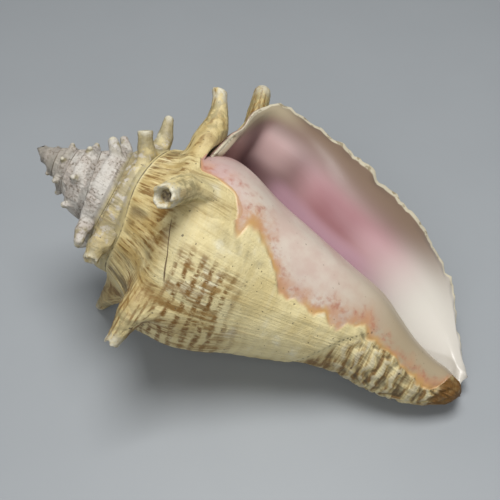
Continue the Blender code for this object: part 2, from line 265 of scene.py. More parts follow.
    def callus_height(self, turn: Array, share: Array) -> Array:
        """Thickness of the callus: a rise and fall over growth times a curve over girth.

        Args:
            turn: Growth of each row.
            share: Girth of each column.

        Returns:
            The thickness by row and column.
        """
        table = np.asarray(self.callus)
        grows, full, fades, ends = self.callus_turns
        over_growth = ease(grows, full, turn) * (1.0 - ease(fades, ends, turn))
        height = smooth(share, table[:, 0], table[:, 1]) * (share > table[0, 0] - self.callus_margin)
        return over_growth[:, None] * height * ease(self.ramp_share, self.callus[1][0], share)

    def spiral(self, turn: Array | float, share: Array | float) -> Array:
        """Spiral surface before the lip flares.

        In the half-plane of each turn the profile is a cubic curve through the suture, the ramp,
        the shoulder, the next suture and the side. The half-plane turns about the axis with
        growth, and the axis bends sideways a little with the distance along it.

        Args:
            turn: Growth of each row.
            share: Girth of each column.

        Returns:
            Points by row and column, in the shell's frame.
        """
        turn, share = np.atleast_1d(turn).astype(float), np.atleast_1d(share).astype(float)
        suture_along, suture_radius = self.track(self.suture, turn)
        shoulder_along, shoulder_radius = self.track(self.shoulder, turn)
        next_along, next_radius = self.track(self.suture, turn + 1.0)
        ledge = shoulder_radius - suture_radius
        ramp_along = 0.5 * (suture_along + shoulder_along) + self.ramp_hollow[0] * ledge
        ramp_radius = 0.5 * (suture_radius + shoulder_radius) + self.ramp_hollow[1] * ledge
        side = np.asarray(self.side)
        side_shares = self.seam_share + (1.0 - self.seam_share) * side[:, 0]
        first_shares = [0.0, self.ramp_share, self.shoulder_share, self.seam_share]
        knots = np.concatenate([first_shares, side_shares])
        side_along = next_along[:, None] + (self.length - next_along[:, None]) * side[:, 0]
        side_radius = next_radius[:, None] * side[:, 1]
        first_along = np.stack([suture_along, ramp_along, shoulder_along, next_along], axis=-1)
        first_radius = np.stack([suture_radius, ramp_radius, shoulder_radius, next_radius], axis=-1)
        along = smooth(share, knots, np.concatenate([first_along, side_along], axis=-1))
        radius = smooth(share, knots, np.concatenate([first_radius, side_radius], axis=-1))
        radius = radius + self.callus_height(turn, share)
        bend = np.asarray(self.bend)
        shift = smooth(np.clip(along, bend[0, 0], bend[-1, 0]), bend[:, 0], bend[:, 1])
        sideways = np.array([0.0, math.cos(self.bend_azimuth), math.sin(self.bend_azimuth)])
        return self.around(along, radius, self.azimuth(turn)[:, None]) + shift[..., None] * sideways

    def lip_edge(self, share: Array) -> Array:
        """Edge of the lip: a cubic curve over girth in distance along, radius and azimuth.

        Args:
            share: Girth of each point.

        Returns:
            Points of the edge, in the shell's frame.
        """
        start = (0.0, *self.track(self.suture, 0.0), math.degrees(self.lip_azimuth))
        edge = np.array([start, *self.lip])
        along, radius, azimuth = smooth(share, edge[:, 0], edge[:, None, 1:].T)[:, 0]
        return self.around(along, radius, np.radians(azimuth))

    def wall(self, turn: Array | float, share: Array | float) -> Array:
        """Outer wall: the spiral, drawn out to the lip's edge over the last half turn.

        The reach from the spiral's own end to the lip's edge is added with a power of the growth
        within the hollow, 0 at its inner end and 1 at the lip.

        Args:
            turn: Growth of each row.
            share: Girth of each column.

        Returns:
            Points by row and column, in the shell's frame.
        """
        turn, share = np.atleast_1d(turn).astype(float), np.atleast_1d(share).astype(float)
        reach = self.lip_edge(share) - self.spiral(0.0, share)[0]
        low, high = self.flare_power
        power = low + (high - low) * ease(*self.flare_change, share)
        growth = np.clip(1.0 + turn / self.hollow_turns, 0.0, 1.0)
        return self.spiral(turn, share) + (growth[:, None] ** power)[..., None] * reach

    def wall_at(self, turn: Array, share: Array) -> Array:
        """Outer wall at scattered places, blended between the four nearest points of a fine grid.

        Args:
            turn: Growth of each place, any shape.
            share: Girth of each place, of the same shape.

        Returns:
            One point for each place.
        """
        turns, shares = np.ravel(turn), np.ravel(share)
        edge, count = 0.002, 97
        grid_turns = np.linspace(turns.min() - edge, turns.max() + edge, count)
        grid_shares = np.linspace(shares.min() - edge, shares.max() + edge, count)
        grid = self.wall(grid_turns, grid_shares)
        x = (turns - grid_turns[0]) / (grid_turns[1] - grid_turns[0])
        y = (shares - grid_shares[0]) / (grid_shares[1] - grid_shares[0])
        i, j = np.floor(x).astype(int), np.floor(y).astype(int)
        a, b = (x - i)[:, None], (y - j)[:, None]
        near = grid[i, j] * (1.0 - b) + grid[i, j + 1] * b
        far = grid[i + 1, j] * (1.0 - b) + grid[i + 1, j + 1] * b
        return (near * (1.0 - a) + far * a).reshape(*np.shape(turn), 3)

    def normal(self, points: Array) -> Array:
        """Outward unit normal: growth's step crossed with girth's step."""
        normal = np.cross(np.gradient(points, axis=0), np.gradient(points, axis=1))
        return normal / np.maximum(np.linalg.norm(normal, axis=-1, keepdims=True), 1e-9)

    def lining(self, outer: Array, core: Array, shares: Array, inner_suture: Array) -> Array:
        """Inner wall of the hollow: the outer wall moved in by the shell's thickness.

        Args:
            outer: Smooth outer wall of the hollow.
            core: Wall of the turn before, facing it.
            shares: Girth of the columns.
            inner_suture: Line where the lining meets the turn before.

        Returns:
            Points of the lining, of the outer wall's shape.
        """
        rows = np.linspace(0.0, 1.0, len(outer))[:, None]
        thin = ease(self.thins_from, 1.0, rows)
        thickness = self.wall_thickness + (self.lip_thickness - self.wall_thickness) * thin
        gap = np.linalg.norm(outer - core, axis=-1)
        thickness = np.minimum(thickness, self.thin_wall_share * gap)
        inner = outer - thickness[..., None] * self.normal(outer)
        near_suture = (1.0 - ease(0.0, self.ramp_share, shares))[None, :, None]
        return inner + near_suture * (inner_suture[:, None] - inner[:, :1])

    def lay_down(self, points: Array) -> Array:
        """Shell's frame to the lying pose, turned by the axis's slope.

        Args:
            points: Points in millimetres.

        Returns:
            The same points in the lying pose, in metres.
        """
        cosine, sine = math.cos(self.slope), math.sin(self.slope)
        x = points[..., 0] * cosine + points[..., 2] * sine
        z = points[..., 2] * cosine - points[..., 0] * sine
        return np.stack([x, points[..., 1], z], axis=-1) * MM


@dataclass
class Sheet:
    """Surface gathered from grids: points, numbered faces and marks for the finish.

    Attributes:
        points: Blocks of points, one row of three per point.
        marks: Blocks of marks, each with one value per point.
        quads: Blocks of four point numbers.
        extra: Faces with another number of corners.
        count: Points so far.
    """

    points: list[Array] = field(default_factory=list)
    marks: list[Marks] = field(default_factory=list)
    quads: list[Array] = field(default_factory=list)
    extra: list[Array] = field(default_factory=list)
    count: int = 0

    def add(self, points: Array, marks: Marks) -> Array:
        """Add a block of points with its marks.

        Args:
            points: Points in an array of any shape.
            marks: Marks that broadcast to that shape.

        Returns:
            The points' numbers, in that shape.
        """
        shape = points.shape[:-1]
        numbers = np.arange(self.count, self.count + points.size // 3).reshape(shape)
        self.points.append(points.reshape(-1, 3))
        self.marks.append({name: np.broadcast_to(mark, shape).ravel() for name, mark in marks.items()})
        self.count += numbers.size
        return numbers

    def face(self, numbers: Array, flip: bool = False) -> None:
        """Face a grid of numbers with quads.

        Args:
            numbers: Point numbers by row and column.
            flip: Whether the faces look the other way.
        """
        corners = [numbers[:-1, :-1], numbers[1:, :-1], numbers[1:, 1:], numbers[:-1, 1:]]
        quads = np.stack(corners, axis=-1).reshape(-1, 4)
        self.quads.append(quads[:, ::-1] if flip else quads)

    def build(self, name: str, place: Array) -> bpy.types.Object:
        """Make the object, with the corners that coincide dropped from each quad.

        Args:
            name: Name of the piece.
            place: Points in metres where the piece lies, in the order of the sheet.

        Returns:
            The linked object, smooth shaded, with a float attribute for every mark.
        """
        quads = np.concatenate(self.quads)
        keep = quads != np.roll(quads, 1, axis=1)
        whole = keep.sum(axis=1) > 2
        quads, keep = quads[whole], keep[whole]
        loops = np.concatenate([quads[keep], *self.extra]).astype(np.int32)
        totals = np.concatenate([keep.sum(axis=1), [len(face) for face in self.extra]])
        totals = totals.astype(np.int32)
        starts = np.concatenate([[0], np.cumsum(totals)[:-1]]).astype(np.int32)
        used = np.unique(loops)
        loops = np.searchsorted(used, loops).astype(np.int32)
        mesh = bpy.data.meshes.new(name)
        mesh.vertices.add(len(used))
        mesh.vertices.foreach_set("co", place[used].astype(np.float32).ravel())
        mesh.loops.add(len(loops))
        mesh.loops.foreach_set("vertex_index", loops)
        mesh.polygons.add(len(totals))
        mesh.polygons.foreach_set("loop_start", starts)
        mesh.update(calc_edges=True)
        mesh.validate()
        for mark in self.marks[0]:
            values = np.concatenate([block[mark] for block in self.marks])[used]
            attribute = mesh.attributes.new(mark, "FLOAT", "POINT")
            attribute.data.foreach_set("value", values.astype(np.float32))
        mesh.shade_smooth()
        piece = bpy.data.objects.new(name, mesh)
        bpy.context.scene.collection.objects.link(piece)
        return piece


@dataclass(frozen=True)
class ShellMarks:
    """Where each colour and wear of the shell lies, as functions of growth and girth.

    Attributes:
        form: Measures of the shell.
        glaze_edge: Rows of girth and the growth at which the glaze of the opening ends.
        layer_edge: Rows of growth and the girth at which the last layer ends.
        crack: The same rows for the crack.
        glaze_turn: Millimetres in a turn, where the glaze ends.
        crack_girth: Millimetres in the whole girth, at the crack.
        suture_girth: Millimetres in the whole girth, at the suture.
    """

    form: ConchForm
    glaze_edge: tuple = (
        (0.330, -1.02), (0.345, -0.935), (0.365, -0.920), (0.390, -0.906), (0.42, -0.896),
        (0.47, -0.886), (0.50, -0.874), (0.55, -0.850), (0.60, -0.825), (0.64, -0.806),
        (0.70, -0.808), (0.75, -0.828), (0.79, -0.822), (0.83, -0.842), (0.87, -0.826),
        (0.91, -0.802), (0.94, -0.834), (0.956, -0.918), (0.97, -1.04), (1.0, -1.10),
    )
    layer_edge: tuple = (
        (-0.845, 0.765), (-0.79, 0.728), (-0.746, 0.700), (-0.65, 0.664), (-0.56, 0.640),
    )
    crack: tuple = ((-0.84, 0.275), (-0.826, 0.288), (-0.79, 0.336), (-0.75, 0.362))
    glaze_turn: float = 240.0
    crack_girth: float = 190.0
    suture_girth: float = 90.0

    def line(self, table: tuple, turn: Array, share: Array, scale: tuple[float, float]) -> Array:
        """Distance from a line: its parts across girth and past the line's ends, at right angles.

        Args:
            table: Rows of growth and girth along the line.
            turn: Growth at each place.
            share: Girth at each place.
            scale: Millimetres in a turn and in the whole girth.

        Returns:
            The distance in millimetres.
        """
        knots = np.asarray(table)
        off = (share - np.interp(turn, knots[:, 0], knots[:, 1])) * scale[1]
        past = np.maximum(knots[0, 0] - turn, turn - knots[-1, 0]).clip(0.0) * scale[0]
        return np.hypot(off, past)

    def read(self, turn: Array, share: Array, coat: Coat, height: Array | float = 0.0) -> Marks:
        """Marks of the finish at each place, each a product of smooth steps over growth and girth.

        The glaze, groove and crack are distances in millimetres. The others are growth and girth
        themselves, the growth behind the lip (depth), the way up a spine (height), or weights
        from 0 to 1: the white old whorls, the apex, the grey whorls after them, the tan ramp, the
        striped body, the brown patch before its shoulder (front), the rough cords near the canal
        (fasciole) and the brown end of the canal. The relief and the pits are filled in later.

        Args:
            turn: Growth at each place.
            share: Girth at each place.
            coat: Side of the wall.
            height: Share of the way up a spine, 0 on the wall.

        Returns:
            One array of the common shape for each mark.
        """
        turn, share = np.broadcast_arrays(turn, share)
        blank = np.zeros(turn.shape)
        outside = coat is Coat.OUTSIDE
        edge = np.asarray(self.glaze_edge)
        glaze = (np.interp(share, edge[:, 0], edge[:, 1]) - turn) * self.glaze_turn
        glaze = np.where((share < edge[0, 0]) | (turn < -1.0), -20.0, glaze).clip(-20.0, 40.0)
        layer = np.asarray(self.layer_edge).T
        crack_share = np.interp(turn, *np.asarray(self.crack).T)
        groove = self.line(self.layer_edge, turn, share, (120.0, 210.0))
        suture = share * self.suture_girth * ease(-7.0, -1.0, turn) + 2.0 * ease(-4.6, -6.4, turn)
        ramp = ease(0.0, 0.03, share) * ease(0.36, 0.25, share)
        front = ease(-0.84, -0.79, turn) * ease(0.35, 0.38, share) * (1.0 - ease(0.45, 0.53, share))
        under = ease(-0.76, -0.70, turn) * ease(0.12, 0.20, share) * (1.0 - 0.8 * ease(0.45, 0.56, share))
        under = under * (1.0 - ease(0.66, 0.76, share))
        return {
            "growth": turn,
            "girth": share,
            "glaze": glaze if outside else blank + 40.0,
            "old": ease(-2.05, -2.65, turn) * outside,
            "apex": ease(-4.0, -5.2, turn) * outside,
            "grey": ease(-1.35, -1.95, turn) * (1.0 - ease(-2.05, -2.65, turn)) * outside,
            "tan": ramp * (1.0 - ease(-1.6, -2.3, turn)) * outside,
            "stripes": np.maximum(front, under) * outside,
            "front": hump(-0.83, 0.075, turn) * hump(0.23, 0.075, share) * outside,
            "depth": -turn if coat is Coat.LINING else blank + 0.5,
            "groove": (np.minimum(groove, suture) if outside else blank + 9.0).clip(0.0, 9.0),
            "crack": (share - crack_share) * self.crack_girth if outside else blank + 9.0,
            "height": height + blank,
            "fasciole": ease(0.0, 0.03, share - np.interp(turn, *layer)) * (turn > -1.0) * outside,
            "end": ease(0.925, 0.955, share) * outside,
            "relief": blank,
            "pit": blank,
        }


@dataclass
class Whorls:
    """All whorls of the shell with the hollow of the opening, one closed surface.

    Attributes:
        form: Measures of the shell.
        marks: Where the colours lie.
        rows_per_turn: Rows in each turn, a multiple of 28 so that the hollow ends on a row.
        first_turn: Oldest turn.
        spire_columns: Columns from the suture to the next one.
        body_columns: Columns from there to the canal.
        rim_rows: Rows round the lip's edge.
        lumps: Soft lumps, lump_height high.
        growth_lines: Lines along the lip's old edges, growth_height high.
        fine_lines: Finer ones, fine_height high.
        folds: Broad folds of the ramp, fold_height high.
        cord_wander: Noise that bends the spiral cords.
        cord_heights: Height of the cords on the body and near the canal.
        ledge_height: Step at the edge of the last layer.
        scar_depth: Dent along the crack.
        rim_length: Length of the lip's edge over which its noises count their cells.
        scallops: Scallops of the lip's edge, scallop_height high.
        nicks: Small chips of it, nick_height high.
        margin_waves: Waves of the margin out of the wall, wave_height high.
        sharp_from: Share of the hollow from which the margin is waved and thinned.
        sharpness: Share of the wall's thickness that the thinning takes off.
    """

    form: ConchForm
    marks: ShellMarks
    rows_per_turn: int = 224
    first_turn: float = -7.0
    spire_columns: int = 20
    body_columns: int = 100
    rim_rows: int = 5
    lumps: Ripple = Ripple(3, (11.0, 9.0))
    growth_lines: Ripple = Ripple(5, (95.0, 5.0))
    fine_lines: Ripple = Ripple(7, (61.0, 14.0))
    folds: Ripple = Ripple(19, (42.0, 4.0))
    cord_wander: Ripple = Ripple(11, (24.0, 20.0))
    lump_height: float = 0.45
    growth_height: float = 0.20
    fine_height: float = 0.12
    fold_height: float = 0.38
    cord_heights: tuple[float, float] = (0.10, 0.55)
    ledge_height: float = 0.9
    scar_depth: float = 0.5
    rim_length: float = 200.0
    scallops: Ripple = Ripple(13, (1.0, 44.0))
    nicks: Ripple = Ripple(23, (1.0, 80.0))
    margin_waves: Ripple = Ripple(29, (1.0, 32.0))
    scallop_height: float = 0.9
    nick_height: float = 0.9
    wave_height: float = 0.9
    sharp_from: float = 0.95
    sharpness: float = 0.55

    def relief(self, turn: Array, share: Array) -> tuple[Array, Array]:
        """Height of the relief over the smooth wall, in millimetres.

        Soft lumps, growth lines across growth, spiral cords that swell and slant toward the canal,
        a step along the edge of the last layer and a dent along the crack are added up. They fade
        out at the suture, and the lines and cords under the glaze too.

        Args:
            turn: Growth at each place.
            share: Girth at each place.

        Returns:
            The whole height, and that of the lines and cords alone.
        """
        size = ease(-7.0, -1.5, turn)
        bare = 1.0 - ease(-4.0, 4.0, self.marks.read(turn, share, Coat.OUTSIDE)["glaze"])
        free = ease(0.0, 0.03, share)
        lumps = self.lump_height * self.lumps.at(turn, share) * (0.25 + 0.75 * bare)
        ramp = ease(0.34, 0.10, share)
        lines = self.growth_height * self.growth_lines.at(turn, share)
        lines = lines + self.fine_height * self.fine_lines.at(turn, share)
        folds = self.fold_height * self.folds.at(turn + 0.12 * share, share)
        lines = (lines * (1.0 + 0.8 * ramp) + folds * (0.35 + ramp)) * bare
        phase = share * 33.0 + turn * 2.8 + 0.75 * self.cord_wander.at(turn, share)
        crest = np.sin(2.0 * math.pi * phase)
        low, high = self.cord_heights
        swell = ease(0.66, 0.80, share) * (1.0 - ease(0.95, 1.0, share))
        cords = (low * ease(0.36, 0.5, share) + high * swell) * crest * bare
        past = share - np.interp(turn, *np.asarray(self.marks.layer_edge).T)
        step = ease(-0.004, 0.006, past) * (1.0 - ease(0.02, 0.10, past))
        ledge = -self.ledge_height * step * bare * (turn > -1.0)
        from_crack = self.marks.line(self.marks.crack, turn, share, (250.0, 110.0))
        scar = self.scar_depth * hump(0.0, 1.4, from_crack)
        fine = lines * size * free + cords
        return fine + lumps * size * free + ledge - scar * free, fine

    def wear(self, margin: Array, shares: Array) -> tuple[Array, Array]:
        """Scallops, nicks and waves of the lip, as noise over the length along its edge.

        Args:
            margin: Last rows of the smooth wall.
            shares: Girth of the columns.

        Returns:
            Shift of each point of the edge in millimetres, and the direction of growth there.
        """
        grow = margin[-1] - margin[0]
        grow /= np.maximum(np.linalg.norm(grow, axis=-1, keepdims=True), 1e-9)
        steps = np.linalg.norm(np.diff(margin[-1], axis=0), axis=-1)
        along_rim = np.concatenate([[0.0], np.cumsum(steps)]) / self.rim_length
        jag = self.scallop_height * self.scallops.at(0.0, along_rim) * ease(0.0, 0.08, shares)
        jag = jag + self.nick_height * self.nicks.at(0.0, along_rim)
        wave = self.wave_height * self.margin_waves.at(0.0, along_rim) * ease(0.05, 0.14, shares)
        return jag[:, None] * grow + wave[:, None] * self.form.normal(margin)[-1], grow

    def rim(self, sheet: Sheet, edge: Array, back: Array, grow: Array, shares: Array) -> Array:
        """Round the lip's edge: half an ellipse between the outer wall and the lining.

        Args:
            sheet: Sheet to add to.
            edge: Last row of the outer wall.
            back: Last row of the lining.
            grow: Direction of growth at each point.
            shares: Girth of the columns.

        Returns:
            Numbers of the new rows, from the outside in.
        """
        round_way = np.linspace(0.0, math.pi, self.rim_rows)[1:-1, None, None]
        thick = np.linalg.norm(edge - back, axis=-1, keepdims=True)
        middle = 0.5 * (edge + back) + 0.5 * (edge - back) * np.cos(round_way)
        middle = middle + 0.35 * thick * np.sin(round_way) * grow
        marks = self.marks.read(np.zeros((self.rim_rows - 2, 1)), shares, Coat.LINING)
        marks["depth"] = marks["depth"] - 0.01
        # The row next to the outer wall is bare like it.
        marks["depth"][0], marks["glaze"][0] = 0.5, -20.0
        return sheet.add(middle, marks)

    def build(self) -> bpy.types.Object:
        """Lay out the outer wall, the core and the lining, sew them together and close them.

        The lower seam of each turn takes the points of the next turn's suture, the core and the
        lining share their suture, and the rim is a half round between the two walls.

        Returns:
            The linked piece, before it is set on the ground.
        """
        form, per_turn = self.form, self.rows_per_turn
        shares = np.concatenate([
            np.linspace(0.0, form.seam_share, self.spire_columns + 1)[:-1],
            np.linspace(form.seam_share, 1.0, self.body_columns + 1),
        ])
        seam, last = self.spire_columns, len(shares) - 1
        row_count = round(-self.first_turn * per_turn) + 1
        turns = self.first_turn + np.arange(row_count) / per_turn
        lip_row = row_count - 1
        body_row = lip_row - per_turn
        hollow_row = lip_row - round(form.hollow_turns * per_turn)
        core_row = hollow_row - per_turn

        smooth_wall = form.wall(turns, shares)
        relief, fine_relief = self.relief(turns[:, None], shares[None, :])
        outer_points = smooth_wall + relief[..., None] * form.normal(smooth_wall)
        core_turns = turns[core_row:body_row + 1]
        core_shares = shares.copy()
        core_shares[seam] += form.inner_suture_step
        core_points = form.wall(core_turns, core_shares)
        facing = smooth_wall[core_row:body_row + 1]
        lining_points = form.lining(smooth_wall[hollow_row:], facing, shares, core_points[:, seam])
        shift, grow = self.wear(smooth_wall[-4:], shares)
        reach = ease(self.sharp_from, 1.0, 1.0 + turns[hollow_row:] / form.hollow_turns)[:, None]
        outer_points[hollow_row:] += reach[..., None] * shift
        lining_points += reach[..., None] * shift
        sharpen = reach * self.sharpness
        lining_points += sharpen[..., None] * (outer_points[hollow_row:] - lining_points)

        sheet = Sheet()
        outer_marks = self.marks.read(turns[:, None], shares, Coat.OUTSIDE)
        outer = sheet.add(outer_points, outer_marks | {"relief": fine_relief})
        lining_marks = self.marks.read(turns[hollow_row:, None], shares, Coat.LINING)
        lining = sheet.add(lining_points, lining_marks)
        core_marks = self.marks.read(core_turns[:, None], core_shares, Coat.CORE)
        core = sheet.add(core_points, core_marks)
        outer[:body_row + 1, seam] = outer[per_turn:, 0]
        core[:, seam] = lining[:, 0]
        core[-1, seam + 1:] = outer[body_row, seam + 1:]
        pole = outer[body_row, last]
        outer[body_row:hollow_row + 1, last] = pole
        core[:, last] = pole
        lining[0, last] = pole

        sheet.face(outer[:body_row + 1, :seam + 1])
        sheet.face(outer[body_row:])
        sheet.face(core[:, seam:])
        sheet.face(lining, flip=True)
        rim = self.rim(sheet, outer_points[lip_row], lining_points[-1], grow, shares)
        sheet.face(np.concatenate([outer[lip_row][None], rim, lining[-1][None]]))
        sheet.face(np.stack([outer[hollow_row:, last], lining[:, last]], axis=1))
        canal_end = [[lining[-1, last]], rim[::-1, last], [outer[lip_row, last]]]
        suture_end = [[outer[lip_row, 0], outer[body_row, seam + 1], lining[-1, 0]], rim[::-1, 0]]
        sheet.extra.extend([np.concatenate(canal_end), np.concatenate(suture_end)])
        sheet.extra.append(np.concatenate([lining[0, ::-1], core[0, seam + 1:last]]))
        apex_marks = self.marks.read(np.full(1, self.first_turn), np.zeros(1), Coat.OUTSIDE)
        apex = sheet.add(np.zeros((1, 3)), apex_marks)
        ring = np.concatenate([outer[per_turn::-1, 0], outer[0, 1:seam + 1]])
        fan = np.stack([ring[:-1], ring[1:], np.full(len(ring) - 1, apex[0])], axis=-1)
        sheet.extra.extend(fan)
        return sheet.build("shell_whorls", form.lay_down(np.concatenate(sheet.points)))


@dataclass
class Spines:
    """Spines of the last whorl and of the spire, each grown out of the wall by a flared foot.

    Attributes:
        form: Measures of the shell.
        marks: Where the colours lie.
        whorls: Wall that the spines grow from, for its relief.
        grown: Spines of the last whorl and of the spire.
        apex_turns: First and last turn with knobs, and the step between them.
        apex_length: Length of the knobs as a share of the whorl's radius.
        apex_lean: Lean of the knobs toward the apex.
        apex_root: Radius of a knob's root, as a share of the whorl's radius and an extra.
        apex_tip: Radius of its tip, in the same terms.
        large_root: Root radius above which a spine gets a finer grid.
        bark: Uneven bark round a spine, bark_height of its radius high.
        probe: Step of growth and girth that shows how the wall lies at the root.
        rise_power: How much closer the rings lie at the foot.
        foot_heights: Share of the way up at each knot of the radius.
        foot_spread: Share of the foot's spread left at the first knots.
        taper: Share of the taper left at the others.
        worn_ends: Height past the tip and radius of each ring of a worn end, in tip radii.
        sink_depth: Depth under the wall of the foot's outer ring.
        under_depths: Depth under the wall of the rings that close the foot.
    """

    form: ConchForm
    marks: ShellMarks
    whorls: Whorls
    grown: tuple[Spine, ...] = (
        Spine(-0.110, 0.270, (68.0, 90.0, 12.0), 6.5, 4.2),
        Spine(-0.300, 0.300, (66.0, 81.0, 310.0), 6.8, 3.8),
        Spine(-0.570, 0.080, (54.0, 68.5, 258.0), 6.4, 2.6, foot=1.6),
        Spine(-0.700, 0.300, (75.2, 60.9, 183.5), 8.6, 3.3, foot=1.8, end=SpineEnd.BROKEN, stain=0.7),
        Spine(-0.905, 0.345, (66.0, 60.0, 118.0), 6.8, 4.9, foot=1.8, end=SpineEnd.BROKEN, stain=0.5),
        Spine(-1.020, 0.330, (56.5, 62.3, 42.0), 9.6, 3.2, 1.3, SpineEnd.BLUNT, stain=0.5, bow=3.27),
        Spine(-1.215, 0.300, (52.0, 50.0, -18.0), 5.5, 2.8),
        Spine(-1.360, 0.300, (50.0, 45.0, -88.0), 5.0, 2.6),
        Spine(-1.480, 0.300, (47.0, 36.0, 250.0), 4.6, 2.4),
        Spine(-1.710, 0.310, (50.0, 39.0, 172.0), 6.4, 3.3, end=SpineEnd.BROKEN),
        Spine(-1.950, 0.310, (41.0, 37.0, 74.0), 4.5, 3.0, end=SpineEnd.BLUNT),
        Spine(-2.050, 0.335, (43.0, 42.0, 40.0), 5.0, 2.2),
        Spine(-2.190, 0.300, (41.0, 35.0, -10.0), 4.0, 2.0),
        Spine(-2.330, 0.300, (38.0, 33.0, -58.0), 4.0, 2.0),
        Spine(-2.450, 0.300, (37.0, 30.0, 260.0), 3.6, 2.0),
        Spine(-2.570, 0.310, (36.0, 28.0, 217.0), 3.4, 2.0),
        Spine(-2.690, 0.310, (41.0, 32.0, 179.0), 3.8, 2.2),
        Spine(-2.950, 0.300, (29.0, 25.5, 73.0), 3.4, 2.2),
        Spine(-3.060, 0.310, (30.0, 24.0, 40.0), 2.9, 1.8),
        Spine(-3.200, 0.300, (26.0, 23.0, -10.0), 2.8, 1.6),
        Spine(-3.330, 0.300, (25.0, 21.0, -58.0), 2.7, 1.5),
        Spine(-3.470, 0.300, (26.0, 19.0, 252.0), 2.5, 1.4),
        Spine(-3.660, 0.300, (24.0, 18.0, 186.0), 2.4, 1.4),
    )
    apex_turns: tuple[float, float, float] = (-3.80, -5.60, 0.15)
    apex_length: float = 0.10
    apex_lean: float = math.radians(20.0)
    apex_root: tuple[float, float] = (0.17, 0.9)
    apex_tip: tuple[float, float] = (0.06, 0.5)
    large_root: float = 5.2
    bark: Ripple = Ripple(17, (6.0, 22.0))
    bark_height: float = 0.05
    probe: float = 0.004
    rise_power: float = 1.35
    foot_heights: tuple = (0.0, 0.015, 0.05, 0.14, 0.32, 0.62, 1.0)
    foot_spread: tuple = (1.0, 0.72, 0.36, 0.0)
    taper: tuple = (0.60, 0.25, 0.0)
    worn_ends: tuple = (
        (SpineEnd.BLUNT, (-0.60, 1.06), (-0.20, 1.08), (-0.03, 1.00), (0.00, 0.86), (-0.04, 0.66),
         (-0.10, 0.44), (-0.14, 0.22), (-0.15, 0.0)),
        (SpineEnd.BROKEN, (-0.25, 0.98), (-0.08, 0.88), (-0.10, 0.74), (-0.30, 0.62), (-0.55, 0.55),
         (-0.80, 0.45), (-0.95, 0.25), (-1.00, 0.0)),
    )
    sink_depth: float = 0.35
    under_depths: tuple = (0.25, 1.0, 1.2, 1.2)

    def knobs(self) -> list[tuple[Spine, Array]]:
        """Knobs along the shoulder of the oldest whorls.

        Returns:
            Each knob with its tip in the shell's frame.
        """
        found = []
        first, final, step = self.apex_turns
        for number in range(int((first - final) / step) + 1):
            turn = first - number * step
            base = self.form.wall(turn, self.form.shoulder_share)[0, 0]
            radius = math.hypot(base[1], base[2])
            out = base[1:] / radius * math.cos(self.apex_lean)
            way = np.array([-math.sin(self.apex_lean), *out])
            root = self.apex_root[0] * radius + self.apex_root[1]
            end = self.apex_tip[0] * radius + self.apex_tip[1]
            tip = base + (radius * self.apex_length + end) * way
            found.append((Spine(turn, self.form.shoulder_share, (0.0, 0.0, 0.0), root, end), tip))
        return found

    def profile(self, spine: Spine, length: float, up: int) -> tuple[Array, Array]:
        """Rings of a spine: a cubic curve of the radius over height, then a round or worn end.

        Args:
            spine: The spine's measures.
            length: From the wall to the tip, in millimetres.
            up: Rings from the foot to the tip.

        Returns:
            Height and radius of each ring, in millimetres.
        """
        root, end = spine.root_radius, spine.tip_radius
        spread = (spine.foot - 1.0) * root * np.array(self.foot_spread)
        widths = np.concatenate([root + spread, end + (root - end) * np.array(self.taper)])
        worn = {kind: np.array(rings).T for kind, *rings in self.worn_ends}
        count = worn[SpineEnd.BROKEN].shape[1]
        turn_in = np.linspace(0.0, 0.5 * math.pi, count + 1)[1:]
        over, narrowing = worn.get(spine.end, (np.sin(turn_in) - 1.0, np.cos(turn_in)))
        rise = np.linspace(0.0, 1.0, up - count) ** self.rise_power
        heights = np.concatenate([rise * (length - end), length + end * over])
        return heights, np.concatenate([smooth(rise, self.foot_heights, widths), end * narrowing])

    def grow(self, sheet: Sheet, spine: Spine, tip: Array, around: int, up: int) -> None:
        """Add one spine to the sheet.

        A circle of places on the wall round the root shrinks to the root's middle while it rises
        toward the tip, and turns from lying along the wall to lying across the spine. A few more
        rings under the wall close the foot.

        Args:
            sheet: Sheet to add to.
            spine: The spine's measures.
            tip: Where it ends, in the shell's frame.
            around: Points in each ring.
            up: Rings from the foot to the tip.
        """
        form = self.form
        sides = self.probe * np.array([-1.0, 0.0, 1.0])
        patch = form.wall(spine.turn + sides, spine.share + sides)
        base, normal = patch[1, 1], form.normal(patch)[1, 1]
        along_growth, along_girth = patch[2, 1] - patch[0, 1], patch[1, 2] - patch[1, 0]
        per_turn = np.linalg.norm(along_growth) / (2.0 * self.probe)
        per_share = np.linalg.norm(along_girth) / (2.0 * self.probe)
        free_share = form.seam_share - self.probe if spine.turn < -1.0 else 1.0
        length = float(np.linalg.norm(tip - base))
        way = (tip - base) / length
        first = along_growth - (along_growth @ way) * way
        first /= np.linalg.norm(first)
        second = -np.cross(way, first)
        if second @ along_girth < 0.0:
            second = -second
        angle = 2.0 * math.pi * np.arange(around) / around

        def places(radius: Array) -> tuple[Array, Array]:
            """Places on the wall round the root, kept clear of the seams.

            Args:
                radius: Distance from the root's middle at each angle, in millimetres.

            Returns:
                Growth and girth of each place.
            """
            turn = spine.turn + radius * np.cos(angle) / per_turn
            share = spine.share + radius * np.sin(angle) / per_share
            return turn, share.clip(self.probe, free_share)

        heights, radii = self.profile(spine, length, up)
        height = (heights / length)[:, None]
        bark = self.bark.at(np.cos(angle)[None] + 5.0 * spine.turn, height) * ease(0.0, 0.1, height)
        radius = radii[:, None] * (1.0 + self.bark_height * bark)
        turn, share = places(radius)
        relief = self.whorls.relief(turn, share)[0][..., None] * normal
        on_wall = form.wall_at(turn, share) - base + relief
        across = radius[..., None] * (np.cos(angle)[:, None] * first + np.sin(angle)[:, None] * second)
        turned = ease(0.02, 0.40, height)[..., None]
